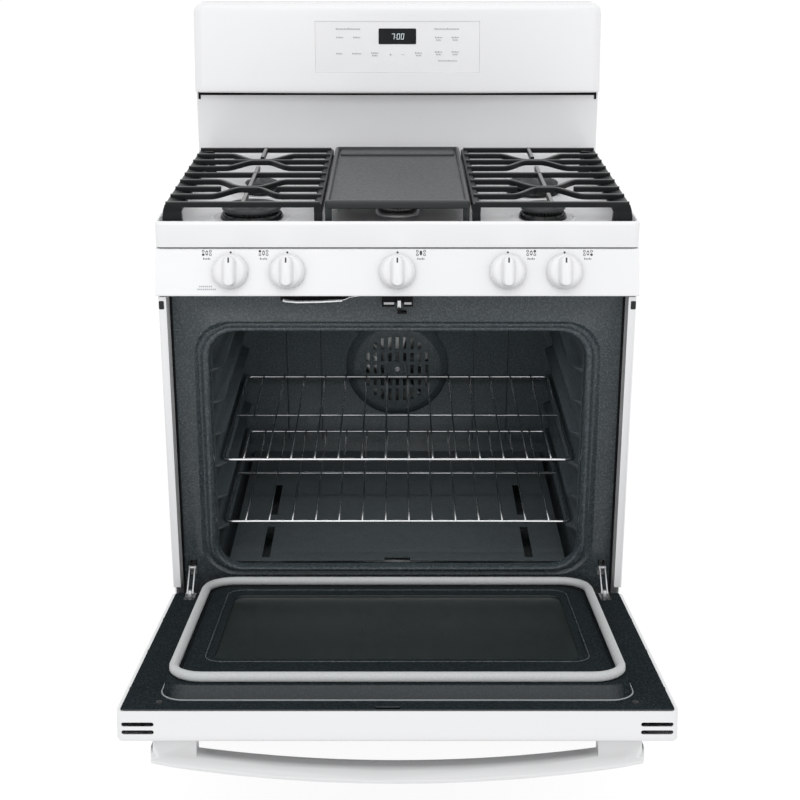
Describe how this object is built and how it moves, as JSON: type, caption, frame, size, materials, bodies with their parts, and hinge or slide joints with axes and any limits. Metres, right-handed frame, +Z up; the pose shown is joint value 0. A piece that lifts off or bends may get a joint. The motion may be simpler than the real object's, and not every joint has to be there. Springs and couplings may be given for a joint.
{
  "type": "freestanding gas range",
  "caption": "Freestanding gas range with an open oven door, wire racks, cast grates, a centre griddle, knobs on a sloped panel, a storage drawer and a rear control console.",
  "frame": {"origin": "on the floor, under the middle of the bounding box with the oven door open on its stop", "axes": "+X to the user's right when facing the range, +Y towards the wall, +Z up"},
  "size_m": [0.7598, 1.1402, 1.2],
  "materials": {
    "backsplash": "gloss",
    "bake_burner": "satin",
    "base_frame": "satin",
    "broil_burner": "satin",
    "burner_base_left_front": "satin",
    "burner_base_left_rear": "satin",
    "burner_base_oval": "satin",
    "burner_base_right_front": "satin",
    "burner_base_right_rear": "satin",
    "burner_cap_left_front": "semi-gloss",
    "burner_cap_left_rear": "semi-gloss",
    "burner_cap_oval": "semi-gloss",
    "burner_cap_right_front": "semi-gloss",
    "burner_cap_right_rear": "semi-gloss",
    "console_housing": "gloss",
    "control_panel": "gloss",
    "cooktop": "gloss",
    "door_gasket": "matte",
    "door_glass_inner": "gloss",
    "door_glass_outer": "gloss",
    "door_handle": "gloss",
    "door_hinge_left": "satin",
    "door_hinge_right": "satin",
    "door_liner": "semi-gloss",
    "door_outer_panel": "gloss",
    "drawer_box": "satin",
    "drawer_front": "gloss",
    "fan_blade": "satin",
    "fan_cover": "semi-gloss",
    "front_frame": "semi-gloss",
    "gas_manifold": "satin",
    "grate_left": "satin",
    "grate_right": "satin",
    "griddle": "satin",
    "hinge_arm_left": "polished",
    "hinge_arm_right": "polished",
    "knob_1": "gloss",
    "knob_2": "gloss",
    "knob_3": "gloss",
    "knob_4": "gloss",
    "knob_5": "gloss",
    "latch_hook": "polished",
    "latch_housing": "semi-gloss",
    "levelling_foot_left_front": "satin",
    "levelling_foot_left_rear": "satin",
    "levelling_foot_right_front": "satin",
    "levelling_foot_right_rear": "satin",
    "oven_floor": "semi-gloss",
    "oven_liner": "semi-gloss",
    "rack_lower": "polished",
    "rack_upper": "polished",
    "rear_panel": "satin",
    "side_panel_left": "gloss",
    "side_panel_right": "gloss",
    "touch_panel": "matte",
    "valve_stem_1": "satin",
    "valve_stem_2": "satin",
    "valve_stem_3": "satin",
    "valve_stem_4": "satin",
    "valve_stem_5": "satin"
  },
  "bodies": {
    "range_body": {"side_panel_left": "side_panel_left", "side_panel_right": "side_panel_right", "rear_panel": "rear_panel", "base_frame": "base_frame", "cooktop": "cooktop", "control_panel": "control_panel", "front_frame": "front_frame", "oven_liner": "oven_liner", "oven_floor": "oven_floor", "fan_cover": "fan_cover", "bake_burner": "bake_burner", "broil_burner": "broil_burner", "latch_housing": "latch_housing", "backsplash": "backsplash", "console_housing": "console_housing", "touch_panel": "touch_panel", "gas_manifold": "gas_manifold", "hinge_arm_left": "hinge_arm_left", "hinge_arm_right": "hinge_arm_right", "burner_base_left_front": "burner_base_left_front", "burner_cap_left_front": "burner_cap_left_front", "burner_base_left_rear": "burner_base_left_rear", "burner_cap_left_rear": "burner_cap_left_rear", "burner_base_right_front": "burner_base_right_front", "burner_cap_right_front": "burner_cap_right_front", "burner_base_right_rear": "burner_base_right_rear", "burner_cap_right_rear": "burner_cap_right_rear", "burner_base_oval": "burner_base_oval", "burner_cap_oval": "burner_cap_oval"},
    "door": {"door_outer_panel": "door_outer_panel", "door_liner": "door_liner", "door_glass_inner": "door_glass_inner", "door_glass_outer": "door_glass_outer", "door_gasket": "door_gasket", "door_handle": "door_handle", "door_hinge_left": "door_hinge_left", "door_hinge_right": "door_hinge_right"},
    "drawer": {"drawer_front": "drawer_front", "drawer_box": "drawer_box"},
    "upper_rack": {"rack_upper": "rack_upper"},
    "lower_rack": {"rack_lower": "rack_lower"},
    "left_grate": {"grate_left": "grate_left"},
    "right_grate": {"grate_right": "grate_right"},
    "griddle_plate": {"griddle": "griddle"},
    "latch": {"latch_hook": "latch_hook"},
    "fan": {"fan_blade": "fan_blade"},
    "stem_1": {"valve_stem_1": "valve_stem_1"},
    "knob_body_1": {"knob_1": "knob_1"},
    "stem_2": {"valve_stem_2": "valve_stem_2"},
    "knob_body_2": {"knob_2": "knob_2"},
    "stem_3": {"valve_stem_3": "valve_stem_3"},
    "knob_body_3": {"knob_3": "knob_3"},
    "stem_4": {"valve_stem_4": "valve_stem_4"},
    "knob_body_4": {"knob_4": "knob_4"},
    "stem_5": {"valve_stem_5": "valve_stem_5"},
    "knob_body_5": {"knob_5": "knob_5"},
    "foot_left_front": {"levelling_foot_left_front": "levelling_foot_left_front"},
    "foot_right_front": {"levelling_foot_right_front": "levelling_foot_right_front"},
    "foot_left_rear": {"levelling_foot_left_rear": "levelling_foot_left_rear"},
    "foot_right_rear": {"levelling_foot_right_rear": "levelling_foot_right_rear"}
  },
  "joints": [
    {"name": "door_hinge", "type": "hinge", "parent": "range_body", "child": "door", "pos_m": [0, -0.0655, 0.2853], "axis": [1, 0, 0], "range_deg": [-79.5, 0]},
    {"name": "drawer_slide", "type": "slide", "parent": "range_body", "child": "drawer", "axis": [0, -1, 0], "range_m": [0, 0.38]},
    {"name": "upper_rack_slide", "type": "slide", "parent": "range_body", "child": "upper_rack", "axis": [0, -1, 0], "range_m": [0, 0.33]},
    {"name": "lower_rack_slide", "type": "slide", "parent": "range_body", "child": "lower_rack", "axis": [0, -1, 0], "range_m": [0, 0.33]},
    {"name": "left_grate_lift", "type": "slide", "parent": "range_body", "child": "left_grate", "axis": [0, 0, 1], "range_m": [0, 0.1]},
    {"name": "right_grate_lift", "type": "slide", "parent": "range_body", "child": "right_grate", "axis": [0, 0, 1], "range_m": [0, 0.1]},
    {"name": "griddle_lift", "type": "slide", "parent": "range_body", "child": "griddle_plate", "axis": [0, 0, 1], "range_m": [0, 0.1]},
    {"name": "latch_swing", "type": "hinge", "parent": "range_body", "child": "latch", "pos_m": [0.003, -0.0379, 0.7965], "axis": [-1, 0, 0], "range_deg": [0, 55]},
    {"name": "fan_spin", "type": "hinge", "parent": "range_body", "child": "fan", "pos_m": [0, 0.4651, 0.5], "axis": [0, 1, 0], "continuous": true},
    {"name": "knob_push_1", "type": "slide", "parent": "range_body", "child": "stem_1", "axis": [0, 0.9558, -0.2941], "range_m": [0, 0.003], "stiffness_N_per_m": 800},
    {"name": "knob_turn_1", "type": "hinge", "parent": "stem_1", "child": "knob_body_1", "pos_m": [-0.262, -0.05536, 0.843], "axis": [0, -0.9558, 0.2941], "range_deg": [0, 235]},
    {"name": "knob_push_2", "type": "slide", "parent": "range_body", "child": "stem_2", "axis": [0, 0.9558, -0.2941], "range_m": [0, 0.003], "stiffness_N_per_m": 800},
    {"name": "knob_turn_2", "type": "hinge", "parent": "stem_2", "child": "knob_body_2", "pos_m": [-0.173, -0.05536, 0.843], "axis": [0, -0.9558, 0.2941], "range_deg": [0, 235]},
    {"name": "knob_push_3", "type": "slide", "parent": "range_body", "child": "stem_3", "axis": [0, 0.9558, -0.2941], "range_m": [0, 0.003], "stiffness_N_per_m": 800},
    {"name": "knob_turn_3", "type": "hinge", "parent": "stem_3", "child": "knob_body_3", "pos_m": [0, -0.05536, 0.843], "axis": [0, -0.9558, 0.2941], "range_deg": [0, 235]},
    {"name": "knob_push_4", "type": "slide", "parent": "range_body", "child": "stem_4", "axis": [0, 0.9558, -0.2941], "range_m": [0, 0.003], "stiffness_N_per_m": 800},
    {"name": "knob_turn_4", "type": "hinge", "parent": "stem_4", "child": "knob_body_4", "pos_m": [0.173, -0.05536, 0.843], "axis": [0, -0.9558, 0.2941], "range_deg": [0, 235]},
    {"name": "knob_push_5", "type": "slide", "parent": "range_body", "child": "stem_5", "axis": [0, 0.9558, -0.2941], "range_m": [0, 0.003], "stiffness_N_per_m": 800},
    {"name": "knob_turn_5", "type": "hinge", "parent": "stem_5", "child": "knob_body_5", "pos_m": [0.262, -0.05536, 0.843], "axis": [0, -0.9558, 0.2941], "range_deg": [0, 235]},
    {"name": "foot_turn_left_front", "type": "hinge", "parent": "range_body", "child": "foot_left_front", "pos_m": [-0.346, -0.0189, 0.02], "axis": [0, 0, 1], "continuous": true},
    {"name": "foot_turn_right_front", "type": "hinge", "parent": "range_body", "child": "foot_right_front", "pos_m": [0.346, -0.0189, 0.02], "axis": [0, 0, 1], "continuous": true},
    {"name": "foot_turn_left_rear", "type": "hinge", "parent": "range_body", "child": "foot_left_rear", "pos_m": [-0.346, 0.5411, 0.02], "axis": [0, 0, 1], "continuous": true},
    {"name": "foot_turn_right_rear", "type": "hinge", "parent": "range_body", "child": "foot_right_rear", "pos_m": [0.346, 0.5411, 0.02], "axis": [0, 0, 1], "continuous": true}
  ]
}
